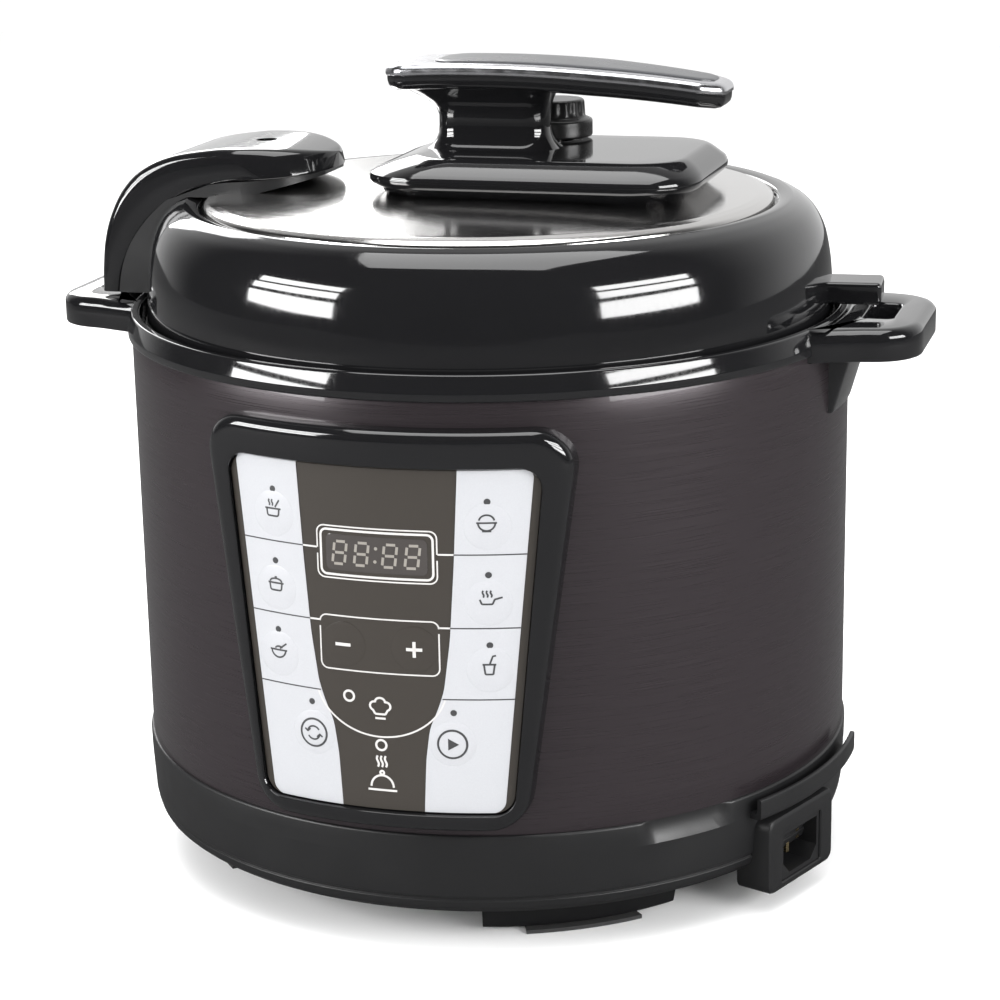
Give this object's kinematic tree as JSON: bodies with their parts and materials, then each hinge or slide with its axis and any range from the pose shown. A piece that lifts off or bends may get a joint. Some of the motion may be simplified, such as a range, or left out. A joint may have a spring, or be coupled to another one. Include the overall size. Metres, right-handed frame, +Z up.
{
  "type": "electric pressure cooker",
  "caption": "Electric pressure cooker: dark steel body on a plastic base, front control panel, gloss collar with side handles and a bayonet lid with a bar grip.",
  "frame": {"origin": "on the cooker's axis, on the surface that it stands on", "axes": "+Z up, the control panel faces -Y, the side handles lie along X"},
  "size_m": [0.344, 0.3005, 0.3111],
  "materials": {
    "shell_steel": "dark coated brushed steel, fine horizontal grain",
    "gloss_black": "piano black, polished",
    "satin_black": "satin moulded dark grey",
    "bright_steel": "polished stainless steel",
    "zinc_steel": "plain zinc-plated sheet",
    "chrome_trim": "satin chrome plating",
    "inlay_grey": "soft dark grey",
    "key_white": "pale silver-white film",
    "panel_film": "brown-black printed film",
    "display_glass": "dark tinted window",
    "pot_coating": "drawn aluminium, non-stick coated inside",
    "silicone": "pale translucent silicone",
    "foot_rubber": "black rubber",
    "board_green": "green circuit board",
    "heater_alloy": "cast aluminium",
    "contact_brass": "nickel-plated brass",
    "insulation": "pressed fibre",
    "spring_steel": "spring steel"
  },
  "bodies": {
    "base": {"outer_shell": "shell_steel", "collar_ring": "gloss_black", "left_handle": "gloss_black", "right_handle": "gloss_black", "lid_switch": "satin_black", "handle_screws": "zinc_steel", "base_ring": "satin_black", "foot_pads": "foot_rubber", "bottom_plate": "zinc_steel", "bottom_screws": "zinc_steel", "power_inlet": "satin_black", "inlet_pins": "contact_brass", "outer_pot": "zinc_steel", "insulation_sleeve": "insulation", "heater_plate": "heater_alloy", "sensor_spring": "spring_steel", "spring_plate": "spring_steel", "sensor_cup": "zinc_steel", "pressure_switch": "satin_black", "power_board": "board_green", "control_board": "board_green", "key_switches": "board_green", "display_module": "board_green", "thermal_fuse": "contact_brass", "panel_bezel": "gloss_black", "panel_face": "panel_film", "display_window": "display_glass", "cup_rail": "satin_black"},
    "lid": {"lid_ring": "gloss_black", "lid_disc": "bright_steel", "inner_lid": "bright_steel", "handle_block": "gloss_black", "lid_screws": "zinc_steel", "grip": "gloss_black", "grip_trim": "chrome_trim", "grip_inlay": "inlay_grey", "arm_cover": "gloss_black", "arm_base": "satin_black", "arm_screw": "bright_steel", "lid_magnet": "zinc_steel", "lid_tab": "gloss_black", "steam_pipe": "bright_steel", "anti_block_cap": "bright_steel"},
    "temperature_sensor": {"temperature_sensor": "bright_steel"},
    "inner_pot": {"inner_pot": "pot_coating"},
    "sealing_ring": {"sealing_ring": "silicone"},
    "pressure_weight": {"pressure_weight": "bright_steel"},
    "pressure_knob": {"pressure_knob": "gloss_black"},
    "float_valve": {"float_valve": "contact_brass"},
    "condensate_cup": {"condensate_cup": "satin_black"},
    "left_key_1": {"left_key_1": "key_white"},
    "right_key_1": {"right_key_1": "key_white"},
    "left_key_2": {"left_key_2": "key_white"},
    "right_key_2": {"right_key_2": "key_white"},
    "left_key_3": {"left_key_3": "key_white"},
    "right_key_3": {"right_key_3": "key_white"},
    "left_key_4": {"left_key_4": "key_white"},
    "right_key_4": {"right_key_4": "key_white"},
    "minus_key": {"minus_key": "satin_black"},
    "plus_key": {"plus_key": "satin_black"}
  },
  "joints": [
    {"name": "left_key_1_press", "type": "slide", "parent": "base", "child": "left_key_1", "axis": [0.2692, 0.9631, 0], "range_m": [0, 0.0005], "stiffness_N_per_m": 2000},
    {"name": "right_key_1_press", "type": "slide", "parent": "base", "child": "right_key_1", "axis": [-0.2692, 0.9631, 0], "range_m": [0, 0.0005], "stiffness_N_per_m": 2000},
    {"name": "left_key_2_press", "type": "slide", "parent": "base", "child": "left_key_2", "axis": [0.2692, 0.9631, 0], "range_m": [0, 0.0005], "stiffness_N_per_m": 2000},
    {"name": "right_key_2_press", "type": "slide", "parent": "base", "child": "right_key_2", "axis": [-0.2692, 0.9631, 0], "range_m": [0, 0.0005], "stiffness_N_per_m": 2000},
    {"name": "left_key_3_press", "type": "slide", "parent": "base", "child": "left_key_3", "axis": [0.2692, 0.9631, 0], "range_m": [0, 0.0005], "stiffness_N_per_m": 2000},
    {"name": "right_key_3_press", "type": "slide", "parent": "base", "child": "right_key_3", "axis": [-0.2692, 0.9631, 0], "range_m": [0, 0.0005], "stiffness_N_per_m": 2000},
    {"name": "left_key_4_press", "type": "slide", "parent": "base", "child": "left_key_4", "axis": [0.1781, 0.984, 0], "range_m": [0, 0.0005], "stiffness_N_per_m": 2000},
    {"name": "right_key_4_press", "type": "slide", "parent": "base", "child": "right_key_4", "axis": [-0.1781, 0.984, 0], "range_m": [0, 0.0005], "stiffness_N_per_m": 2000},
    {"name": "minus_key_press", "type": "slide", "parent": "base", "child": "minus_key", "axis": [0.0904, 0.9959, 0], "range_m": [0, 0.0005], "stiffness_N_per_m": 2000},
    {"name": "plus_key_press", "type": "slide", "parent": "base", "child": "plus_key", "axis": [-0.0904, 0.9959, 0], "range_m": [0, 0.0005], "stiffness_N_per_m": 2000},
    {"name": "sensor_press", "type": "slide", "parent": "base", "child": "temperature_sensor", "axis": [0, 0, -1], "range_m": [0, 0.003], "stiffness_N_per_m": 800, "deforming": ["sensor_spring"]},
    {"name": "pot_lift", "type": "slide", "parent": "base", "child": "inner_pot", "axis": [0, 0, 1], "range_m": [0, 0.18]},
    {"name": "lid_lift", "type": "slide", "parent": "inner_pot", "child": "sealing_ring", "axis": [0, 0, 1], "range_m": [0, 0.15]},
    {"name": "lid_turn", "type": "hinge", "parent": "sealing_ring", "child": "lid", "pos_m": [0, 0, 0.22], "axis": [0, 0, -1], "range_deg": [0, 30]},
    {"name": "weight_lift", "type": "slide", "parent": "lid", "child": "pressure_weight", "axis": [0, 0, 1], "range_m": [0, 0.003]},
    {"name": "knob_turn", "type": "hinge", "parent": "pressure_weight", "child": "pressure_knob", "pos_m": [0.02, 0.03, 0.283], "axis": [0, 0, 1], "range_deg": [0, 90]},
    {"name": "float_rise", "type": "slide", "parent": "lid", "child": "float_valve", "axis": [0, 0, 1], "range_m": [0, 0.005]},
    {"name": "cup_pull", "type": "slide", "parent": "base", "child": "condensate_cup", "axis": [0, 1, 0], "range_m": [0, 0.03]}
  ]
}
